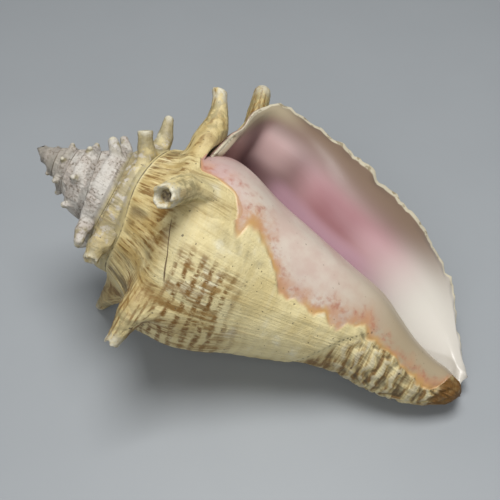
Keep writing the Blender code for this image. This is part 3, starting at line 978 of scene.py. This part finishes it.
        # Three large and seven small teeth round a broken rim.
        teeth = 0.03 * np.sin(3.0 * angle + 9.0 * spine.turn) + 0.015 * np.sin(7.0 * angle)
        broken = spine.end is SpineEnd.BROKEN
        jag = 1.0 + teeth * ease(0.8, 1.0, height) * broken
        bow = spine.bow * np.sin(math.pi * height.clip(0.0, 1.0))[..., None] * np.array([1.0, 0.0, 0.0])
        climb = (heights[:, None] * jag)[..., None] * way + bow
        sink = self.sink_depth * (1.0 - ease(0.0, 0.03, height))[..., None] * normal
        points = base + on_wall * (1.0 - turned) + across * turned + climb - sink
        marks = self.marks.read(turn, share, Coat.OUTSIDE, height.clip(0.0, 1.0))
        # The glaze ends a little way up the foot.
        marks["glaze"] = (marks["glaze"] - 200.0 * height).clip(-20.0)
        marks["tan"] = np.maximum(marks["tan"], spine.stain)
        # Marks the pit of a broken end, which the finish darkens as dirt and painted shade of its hollow.
        deep = ease(-0.52, -0.85, (heights - length) / spine.tip_radius) * (np.arange(up) > up - 6)
        marks["pit"] = deep[:, None] * broken + 0.0 * turn
        foot = spine.foot * spine.root_radius * np.linspace(1.0, 0.0, len(self.under_depths))
        under_turn, under_share = places(foot[:, None] + 0.0 * angle)
        under = form.wall_at(under_turn, under_share)
        under = under - np.array(self.under_depths)[:, None, None] * normal
        numbers = sheet.add(points, marks)
        below = sheet.add(under, self.marks.read(under_turn, under_share, Coat.OUTSIDE))
        below[0] = numbers[0]
        below[-1] = below[-1, 0]
        numbers[-1] = numbers[-1, 0]
        turned_over = np.linalg.det(np.stack([first, second, way])) < 0.0
        for grid, flip in ((numbers, turned_over), (below, not turned_over)):
            sheet.face(np.concatenate([grid, grid[:, :1]], axis=1), flip=flip)

    def build(self) -> bpy.types.Object:
        """Grow every spine and knob into one sheet.

        Returns:
            The linked piece, before it is set on the ground.
        """
        sheet = Sheet()
        for spine in self.grown:
            along, radius, azimuth = spine.tip
            tip = self.form.around(np.array(along), np.array(radius), np.radians(azimuth))
            large = spine.root_radius > self.large_root
            self.grow(sheet, spine, tip, around=48 if large else 28, up=44 if large else 28)
        for spine, tip in self.knobs():
            self.grow(sheet, spine, tip, around=20, up=22)
        return sheet.build("shell_spines", self.form.lay_down(np.concatenate(sheet.points)))


def linear(colour: str) -> tuple[float, float, float, float]:
    """sRGB hex colour as linear values.

    Args:
        colour: The colour, as in a style sheet.

    Returns:
        Red, green and blue in linear light, with alpha 1.
    """
    parts = [int(colour[i:i + 2], 16) / 255.0 for i in (1, 3, 5)]
    red, green, blue = (p / 12.92 if p <= 0.04045 else ((p + 0.055) / 1.055) ** 2.4 for p in parts)
    return red, green, blue, 1.0


def add_node(
    tree: bpy.types.NodeTree, kind: str, feeds: dict[Any, Any] | None = None, out: Any = 0, **settings: Any
) -> bpy.types.NodeSocket:
    """Add a node with its settings, and give each of its inputs a value or a link.

    Args:
        tree: Node tree that gets the node.
        kind: Node type.
        feeds: Value or output socket for each input, by name or number.
        out: Name or number of the output to hand back.
        settings: Properties of the node.

    Returns:
        The chosen output socket of the new node.
    """
    made = tree.nodes.new(kind)
    for name, value in settings.items():
        setattr(made, name, value)
    for key, value in (feeds or {}).items():
        if isinstance(value, bpy.types.NodeSocket):
            tree.links.new(value, made.inputs[key])
        else:
            made.inputs[key].default_value = value
    return made.outputs[out]


@dataclass(frozen=True)
class Pattern:
    """Noise whose grains have a real size.

    Attributes:
        size: Width of a grain in millimetres, or its lengths along growth and along girth.
        detail: Finer octaves.
        roughness: Strength of each finer octave.
    """

    size: float | tuple[float, float]
    detail: float = 4.0
    roughness: float = 0.55


@dataclass(frozen=True)
class Mask:
    """Smooth step of a mark or pattern of the surface, from bottom at low to top at high."""

    source: str
    low: float = 0.0
    high: float = 1.0
    bottom: float = 0.0
    top: float = 1.0


@dataclass(frozen=True)
class Stain:
    """Colour laid over those before it, as strongly as the product of its masks."""

    colour: str
    masks: tuple[Mask, ...]


@dataclass(frozen=True)
class LayeredAragonite:
    """Aragonite of a queen conch, laid down layer by layer by the animal.

    The outside was built up at the lip, so it has growth lines, brown dashes left by the mantle's
    edge and a chalky, half-matt skin that sand has worn white on the spire and the spines. The
    glaze of the opening was laid over it later and stays smooth and glossy like porcelain, pink
    where it is thick. Sizes are in millimetres of the real shell.

    Attributes:
        name: Name of the material.
        base: Colour under every stain.
        turn_length: Length of a turn of growth on the body, which scales patterns along growth.
        girth_length: Length of the whole girth, which scales patterns along girth.
        stripe_spacing: Between two rows of dashes.
        tongue_reach: How far the tongues of glaze run over the body.
        outside_roughness: Roughness of the chalky outside.
        glaze_roughness: Roughness of the glaze.
        relief_depth: Depth of the bump.
        patterns: Noises by name.
        outside: Stains of the outside, first to last, with dirt and painted shade where the relief lies
            low.
        lining: Stains of the hollow's wall, with a painted highlight a little way in and painted shade on
            the margin and deep in the hollow.
        callus: Stains of the glaze on the body.
        pits: Dirt and painted shade in the grooves and sutures, the dark crack, and dirt and
            painted shade in the pits of the broken spines.
    """

    name: str = "layered_aragonite"
    base: str = "#ccba84"
    turn_length: float = 290.0
    girth_length: float = 190.0
    stripe_spacing: float = 4.2
    tongue_reach: float = 38.0
    outside_roughness: float = 0.58
    glaze_roughness: float = 0.30
    relief_depth: float = 0.8
    patterns: tuple[tuple[str, Pattern], ...] = (
        ("growth_lines", Pattern((1.9, 27.0))),
        ("broad_lines", Pattern((7.0, 48.0))),
        ("spiral_lines", Pattern((41.0, 2.0))),
        ("stripe_wander", Pattern((26.0, 24.0), 3.0)),
        ("dashes", Pattern((2.3, 5.5), 5.0, 0.75)),
        ("tongues", Pattern((60.0, 13.0), 2.5, 0.5)),
        # The finest grain is 0.3 mm on a real shell, drawn coarser so that it shows in the picture.
        ("grain", Pattern(1.1)),
        ("speck", Pattern(1.5, 2.0, 0.4)),
        ("spots", Pattern(3.2, 3.0, 0.6)),
        ("blotch", Pattern(7.5, 4.0, 0.6)),
        ("cloud", Pattern(18.0)),
    )
    outside: tuple[Stain, ...] = (
        Stain("#dccd9a", (Mask("cloud", 0.36, 0.58),)),
        Stain("#dcd3b0", (Mask("spiral_lines", 0.46, 0.70, 0.0, 0.20),)),
        Stain("#b89c5e", (Mask("growth_lines", 0.54, 0.74, 0.0, 0.30),)),
        Stain("#e0dabf", (Mask("cloud", 0.54, 0.66), Mask("blotch", 0.44, 0.60, 0.0, 0.7))),
        Stain("#a98d51", (Mask("tan"), Mask("broad_lines", 0.34, 0.66, 0.10, 0.85))),
        Stain("#7c5c26", (
            Mask("tan"), Mask("growth_lines", 0.48, 0.60), Mask("blotch", 0.36, 0.56, 0.1, 0.95),
        )),
        Stain("#dccb94", (
            Mask("tan"), Mask("growth_lines", 0.44, 0.34), Mask("cloud", 0.42, 0.58, 0.2, 0.9),
        )),
        Stain("#7a551c", (Mask("stripes"), Mask("columns", -0.5, 0.9), Mask("dashes", 0.40, 0.56))),
        Stain("#8a672c", (
            Mask("stripes", top=0.85), Mask("blotch", 0.42, 0.58), Mask("growth_lines", 0.40, 0.56),
        )),
        Stain("#7f5c26", (
            Mask("front"), Mask("blotch", 0.38, 0.56), Mask("growth_lines", 0.36, 0.56, 0.3, 1.0),
        )),
        Stain("#9f8450", (Mask("fasciole", top=0.85), Mask("spiral_lines", 0.64, 0.44))),
        Stain("#74521f", (Mask("fasciole", top=0.85), Mask("spiral_lines", 0.50, 0.38))),
        Stain("#c6bc9c", (Mask("fasciole", top=0.75), Mask("relief", 0.15, 0.55))),
        Stain("#8f8468", (Mask("grey"), Mask("blotch", 0.66, 0.44, 0.15, 0.8))),
        Stain("#bdb6ab", (Mask("grey"), Mask("spots", 0.50, 0.64, 0.0, 0.8))),
        Stain("#aea59f", (Mask("old", top=0.92),)),
        Stain("#c4bfb6", (Mask("old"), Mask("blotch", 0.42, 0.58, 0.0, 0.9))),
        Stain("#7b7061", (
            Mask("old"), Mask("grain", 0.50, 0.60, 0.0, 0.8), Mask("blotch", 0.62, 0.42, 0.2, 1.0),
        )),
        Stain("#a0988a", (Mask("apex", top=0.85), Mask("blotch", 0.35, 0.60, 0.3, 1.0))),
        Stain("#8f835c", (Mask("height", 0.10, 0.45), Mask("spots", 0.40, 0.60, 0.0, 0.75))),
        Stain("#d3cdb8", (Mask("height", 0.66, 0.98), Mask("spots", 0.35, 0.6, 0.0, 0.85))),
        # Dirt and painted shade where the relief lies low, in the hollows between growth lines and folds.
        Stain("#51452f", (Mask("relief", -0.08, -0.60, 0.0, 0.60), Mask("old", bottom=1.0, top=0.45))),
        Stain("#4d412f", (Mask("speck", 0.70, 0.76, 0.0, 0.8),)),
        Stain("#43382a", (Mask("growth", -0.006, -0.001, 0.0, 0.75),)),
        Stain("#76521f", (Mask("end"), Mask("blotch", 0.35, 0.55, 0.5, 1.0))),
    )
    lining: tuple[Stain, ...] = (
        Stain("#8e7270", (Mask("girth", 0.0, 0.01),)),
        Stain("#c9a49c", (Mask("girth", 0.22, 0.10),)),
        # Painted highlight: a pale pink pool of light painted on the lining a little way into the hollow.
        Stain("#c6a7a4", (
            Mask("girth", 0.25, 0.33), Mask("girth", 0.44, 0.36), Mask("depth", 0.05, 0.09),
            Mask("depth", 0.16, 0.12),
        )),
        Stain("#b68d90", (Mask("girth", 0.40, 0.50), Mask("depth", 0.04, 0.11))),
        Stain("#b9969e", (Mask("girth", 0.37, 0.45), Mask("depth", 0.15, 0.19))),
        Stain("#9b6a6e", (
            Mask("girth", 0.46, 0.54), Mask("girth", 0.66, 0.58), Mask("depth", 0.06, 0.10),
            Mask("depth", 0.165, 0.130),
        )),
        Stain("#c09aa6", (
            Mask("girth", 0.36, 0.44), Mask("girth", 0.74, 0.62), Mask("depth", 0.135, 0.165),
        )),
        # Mauve deep in the hollow, darkened further as painted shade.
        Stain("#795a5c", (
            Mask("girth", 0.20, 0.28), Mask("girth", 0.40, 0.33), Mask("depth", 0.13, 0.17),
        )),
        Stain("#d3cdc2", (Mask("girth", 0.64, 0.82),)),
        # Beige-brown margin inside the lip, darkened as painted shade where it faces away from the light.
        Stain("#7d6956", (
            Mask("depth", 0.095, 0.02), Mask("girth", 0.90, 0.66, 0.0, 0.9), Mask("girth", 0.12, 0.20),
        )),
        Stain("#a79a80", (Mask("depth", 0.060, 0.025), Mask("girth", 0.40, 0.30, 0.0, 0.9))),
        Stain("#cfc6ad", (Mask("depth", 0.0095, 0.0060, 0.0, 0.9),)),
        Stain("#7d6c4c", (Mask("depth", 0.0100, 0.0070), Mask("spots", 0.52, 0.66, 0.0, 0.7))),
    )
    callus: tuple[Stain, ...] = (
        Stain("#c7afa2", (Mask("girth", 0.0, 0.01),)),
        Stain("#d2c5b6", (Mask("cloud", 0.34, 0.58, 0.1, 0.9),)),
        Stain("#b3808a", (Mask("girth", 0.48, 0.38, 0.0, 0.45),)),
        Stain("#a89779", (Mask("girth", 0.62, 0.84, 0.0, 0.9),)),
        Stain("#c08b66", (Mask("reach", 20.0, 2.0), Mask("blotch", 0.34, 0.62, 0.0, 0.85))),
        Stain("#a5604a", (
            Mask("reach", 20.0, 10.0), Mask("reach", 2.0, 8.0), Mask("spots", 0.46, 0.74, 0.0, 0.6),
        )),
        Stain("#c49a58", (Mask("reach", 8.0, 0.5), Mask("cloud", 0.38, 0.60, 0.1, 0.85))),
        Stain("#6d5f45", (Mask("speck", 0.72, 0.77, 0.0, 0.6),)),
    )
    pits: tuple[Stain, ...] = (
        # Dirt and painted shade along the sutures and the edge of the last layer.
        Stain("#51452f", (Mask("crevice", 1.1, 0.35), Mask("blotch", 0.36, 0.56, 0.25, 0.9))),
        Stain("#5a4022", (
            Mask("crack", -0.9, -0.1), Mask("crack", 0.9, 0.1), Mask("growth", -0.845, -0.825),
            Mask("growth", -0.745, -0.760, 0.0, 0.95),
        )),
        # Dirt and painted shade in the pits of the broken spines.
        Stain("#5d5140", (Mask("pit"), Mask("grain", 0.35, 0.60, 1.0, 0.5))),
    )

    def lay(
        self, tree: bpy.types.NodeTree, values: dict[str, Any], stains: tuple[Stain, ...], under: Any
    ) -> bpy.types.NodeSocket:
        """Lay stains over a colour in turn, each as strongly as the product of its masks.

        Args:
            tree: Node tree that gets the nodes.
            values: Output socket of each mark and pattern by name.
            stains: Stains from the first to the last.
            under: Colour or socket below them.

        Returns:
            The stained colour's socket.
        """
        for stain in stains:
            strength: Any = 1.0
            for mask in stain.masks:
                feeds = dict(enumerate((values[mask.source], *astuple(mask)[1:])))
                part = add_node(tree, "ShaderNodeMapRange", feeds, interpolation_type="SMOOTHSTEP")
                strength = add_node(tree, "ShaderNodeMath", {0: strength, 1: part}, operation="MULTIPLY")
            feeds = {0: strength, 6: under, 7: linear(stain.colour)}
            under = add_node(tree, "ShaderNodeMix", feeds, out=2, data_type="RGBA")
        return under

    def make(self) -> bpy.types.Material:
        """Build the node material.

        Marks of the surface and patterns of noise are gathered by name. Sums of them, each a
        product plus a third value, give the wandering rows of dashes, the tongues of the glaze and
        the crevices where dirt and painted shade lie. Then each set of stains is laid in turn: the
        outside, the lining, the callus over the outside, and the dirt and painted shade in grooves and
        pits.

        Returns:
            The material, with base colour, roughness and bump from its nodes.
        """
        material = bpy.data.materials.new(self.name)
        material.use_nodes = True
        tree = material.node_tree
        shader = tree.nodes["Principled BSDF"]
        sums = (
            ("wander", "stripe_wander", 9.0, 0.0),
            ("phase", "girth", 2.0 * math.pi * self.girth_length / self.stripe_spacing, "wander"),
            ("tongue", "tongues", self.tongue_reach, -0.5 * self.tongue_reach),
            ("reach", "glaze", 1.0, "tongue"),
            # Distance to a groove or suture, roughened by grain, where dirt and painted shade are laid.
            ("crevice", "grain", 0.5, "groove"),
            ("lines", "spots", 0.35, "growth_lines"),
            ("skin", "grain", 0.5, "lines"),
        )
        sources = {mask.source for stains in (self.outside, self.lining, self.callus, self.pits)
                   for stain in stains for mask in stain.masks}
        worked_out = {"columns"} | {row[0] for row in (*self.patterns, *sums)}
        values: dict[str, Any] = {}
        for name in sorted((sources | {"glaze", "groove"}) - worked_out):
            values[name] = add_node(tree, "ShaderNodeAttribute", out="Fac", attribute_name=name)
        place = add_node(tree, "ShaderNodeTexCoord", out="Object")
        unrolled = add_node(tree, "ShaderNodeCombineXYZ", {0: values["growth"], 1: values["girth"]})
        for name, pattern in self.patterns:
            vector, scale = place, 1.0
            if isinstance(pattern.size, tuple):
                along, across = pattern.size
                feeds = {0: unrolled, 1: (self.turn_length / along, self.girth_length / across, 0.0)}
                vector = add_node(tree, "ShaderNodeVectorMath", feeds, operation="MULTIPLY")
            else:
                scale = 1.0 / (pattern.size * MM)
            feeds = {"Vector": vector, "Scale": scale}
            feeds |= {"Detail": pattern.detail, "Roughness": pattern.roughness}
            values[name] = add_node(tree, "ShaderNodeTexNoise", feeds)
        for name, *parts in sums:
            feeds = dict(enumerate(values.get(part, part) for part in parts))
            values[name] = add_node(tree, "ShaderNodeMath", feeds, operation="MULTIPLY_ADD")
        values["columns"] = add_node(tree, "ShaderNodeMath", {0: values["phase"]}, operation="SINE")
        feeds = {0: values["reach"], 1: -1.2, 2: 2.4}
        covered = add_node(tree, "ShaderNodeMapRange", feeds, interpolation_type="SMOOTHSTEP")
        inner = add_node(tree, "ShaderNodeMapRange", {0: values["depth"], 1: 0.49, 2: 0.47})
        base = linear(self.base)
        callus, lining, outside = (
            self.lay(tree, values, stains, base) for stains in (self.callus, self.lining, self.outside)
        )
        glazed = add_node(tree, "ShaderNodeMix", {0: inner, 6: callus, 7: lining}, out=2, data_type="RGBA")
        skin = add_node(tree, "ShaderNodeMix", {0: covered, 6: outside, 7: glazed}, out=2, data_type="RGBA")
        change = self.glaze_roughness - self.outside_roughness
        feeds = {0: covered, 1: change, 2: self.outside_roughness}
        roughness = add_node(tree, "ShaderNodeMath", feeds, operation="MULTIPLY_ADD")
        bare = add_node(tree, "ShaderNodeMath", {0: covered, 1: -0.95, 2: 1.0}, operation="MULTIPLY_ADD")
        height = add_node(tree, "ShaderNodeMath", {0: values["skin"], 1: bare}, operation="MULTIPLY")
        feeds = {"Strength": 0.7, "Distance": self.relief_depth * MM, "Height": height}
        bump = add_node(tree, "ShaderNodeBump", feeds)
        tree.links.new(self.lay(tree, values, self.pits, skin), shader.inputs["Base Color"])
        tree.links.new(roughness, shader.inputs["Roughness"])
        tree.links.new(bump, shader.inputs["Normal"])
        shader.inputs["IOR"].default_value = 1.53
        return material


@dataclass(frozen=True)
class PressedLaminate:
    """Grey laminate of the table top, pressed between smooth plates.

    Pressing leaves it flat and half matt, so it takes soft shadows and shows only faint clouds.

    Attributes:
        name: Name of the material.
        tints: Colours of the clouds.
        cloud_size: Width of a cloud in millimetres.
        roughness: Roughness of the pressed skin.
    """

    name: str = "pressed_laminate"
    tints: tuple[str, str] = ("#9da1a4", "#979b9e")
    cloud_size: float = 71.4
    roughness: float = 0.5

    def make(self) -> bpy.types.Material:
        """Build the node material: two tints mixed by soft noise.

        Returns:
            The material.
        """
        material = bpy.data.materials.new(self.name)
        material.use_nodes = True
        tree = material.node_tree
        shader = tree.nodes["Principled BSDF"]
        place = add_node(tree, "ShaderNodeTexCoord", out="Object")
        feeds = {"Vector": place, "Scale": 1.0 / (self.cloud_size * MM), "Detail": 4.0}
        cloud = add_node(tree, "ShaderNodeTexNoise", feeds)
        first, second = (linear(tint) for tint in self.tints)
        tint = add_node(tree, "ShaderNodeMix", {0: cloud, 6: first, 7: second}, out=2, data_type="RGBA")
        tree.links.new(tint, shader.inputs["Base Color"])
        shader.inputs["Roughness"].default_value = self.roughness
        return material


@dataclass
class Studio:
    """Pale floor, soft lights and the camera at the photograph's angle.

    Attributes:
        form: Measures of the shell, for the camera's place.
        focus: Distance along the axis and sideways that the camera looks at.
        distance: Camera from the axis, in millimetres.
        roll: Turn of the picture against the shell's axis.
        lens: Focal length on a frame of sensor_width, both in millimetres.
        floor_size: Half the floor's side, in metres.
        lights: Name, place and side in metres, and power in watts of each lamp.
        lamp_target: Where the lamps look, in metres.
        sky: Colour of the world.
        sky_strength: Its strength.
    """

    form: ConchForm
    focus: tuple[float, float] = (103.2, 9.8)
    distance: float = 348.0
    roll: float = math.radians(31.0)
    lens: float = 57.1
    sensor_width: float = 36.0
    floor_size: float = 3.0
    lights: tuple = (
        ("key_light", (0.02, 0.02, 0.85), 0.40, 6.2),
        ("fill_light", (0.20, -0.90, 0.80), 0.90, 5.0),
    )
    lamp_target: tuple[float, float, float] = (0.0, 0.0, 0.04)
    sky: str = "#d9dde0"
    sky_strength: float = 0.22

    def camera(self, shift: Array) -> None:
        """Set the camera, which looks at the axis square to the canal's bend and is rolled.

        Args:
            shift: How far the shell was moved, in metres.
        """
        psi = self.form.bend_azimuth
        along = np.array([1.0, 0.0, 0.0])
        side = np.array([0.0, math.cos(psi), math.sin(psi)])
        back = np.array([0.0, -math.sin(psi), math.cos(psi)])
        right = along * math.cos(self.roll) + side * math.sin(self.roll)
        up = side * math.cos(self.roll) - along * math.sin(self.roll)
        spot = self.focus[0] * along + self.focus[1] * side + self.distance * back
        data = bpy.data.cameras.new("camera")
        data.lens, data.sensor_width, data.clip_start = self.lens, self.sensor_width, 0.01
        camera = bpy.data.objects.new("camera", data)
        matrix = np.eye(4)
        matrix[:3, :3] = self.form.lay_down(np.stack([right, up, back])).T / MM
        matrix[:3, 3] = self.form.lay_down(spot) + shift
        camera.matrix_world = Matrix(matrix.tolist())
        bpy.context.scene.collection.objects.link(camera)
        bpy.context.scene.camera = camera

    def floor(self) -> None:
        """Set the plain floor under the shell: one square."""
        size = self.floor_size
        corners = [(-size, -size, 0.0), (size, -size, 0.0), (size, size, 0.0), (-size, size, 0.0)]
        mesh = bpy.data.meshes.new("floor")
        mesh.from_pydata(corners, [], [(0, 1, 2, 3)])
        mesh.materials.append(PressedLaminate().make())
        floor = bpy.data.objects.new("floor", mesh)
        bpy.context.scene.collection.objects.link(floor)

    def build(self, shift: Array) -> None:
        """Set floor, camera, square lamps that look at the shell, and the world.

        Args:
            shift: How far the shell was moved, in metres.
        """
        self.floor()
        self.camera(shift)
        for name, spot, size, power in self.lights:
            data = bpy.data.lights.new(name, "AREA")
            data.shape, data.size, data.energy = "SQUARE", size, power
            lamp = bpy.data.objects.new(name, data)
            lamp.location = spot
            view = Vector(self.lamp_target) - Vector(spot)
            lamp.rotation_euler = view.to_track_quat("-Z", "Y").to_euler()
            bpy.context.scene.collection.objects.link(lamp)
        world = bpy.data.worlds.new("studio")
        world.use_nodes = True
        background = world.node_tree.nodes["Background"]
        background.inputs["Color"].default_value = linear(self.sky)
        background.inputs["Strength"].default_value = self.sky_strength
        bpy.context.scene.world = world
        bpy.context.scene.view_settings.view_transform = "Standard"


def stand(pieces: list[bpy.types.Object]) -> Array:
    """Move the meshes together so that their common box stands on the origin.

    Args:
        pieces: Finished pieces.

    Returns:
        The shift, in metres.
    """
    clouds = []
    for piece in pieces:
        points = np.empty(len(piece.data.vertices) * 3, np.float32)
        piece.data.vertices.foreach_get("co", points)
        clouds.append(points.reshape(-1, 3))
    everything = np.concatenate(clouds)
    low, high = everything.min(axis=0), everything.max(axis=0)
    shift = -np.array([(low[0] + high[0]) / 2.0, (low[1] + high[1]) / 2.0, low[2]], float)
    for piece, points in zip(pieces, clouds):
        piece.data.vertices.foreach_set("co", (points + shift).astype(np.float32).ravel())
        piece.data.update()
    return shift


def main() -> None:
    """Build the shell's pieces in order, dress them and report each."""
    logging.basicConfig(level=logging.INFO, format="%(name)s: %(message)s")
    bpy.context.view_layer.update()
    form = ConchForm()
    marks = ShellMarks(form)
    whorls = Whorls(form, marks)
    pieces = [whorls.build(), Spines(form, marks, whorls).build()]
    shift = stand(pieces)
    finish = LayeredAragonite().make()
    for piece in pieces:
        piece.data.materials.append(finish)
        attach(piece, "root")
        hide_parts("shell")
        triangles = sum(len(face.vertices) - 2 for face in piece.data.polygons)
        LOG.info("%s: %d triangles", piece.name, triangles)
    Studio(form).build(shift)


if __name__ == "__main__":
    main()
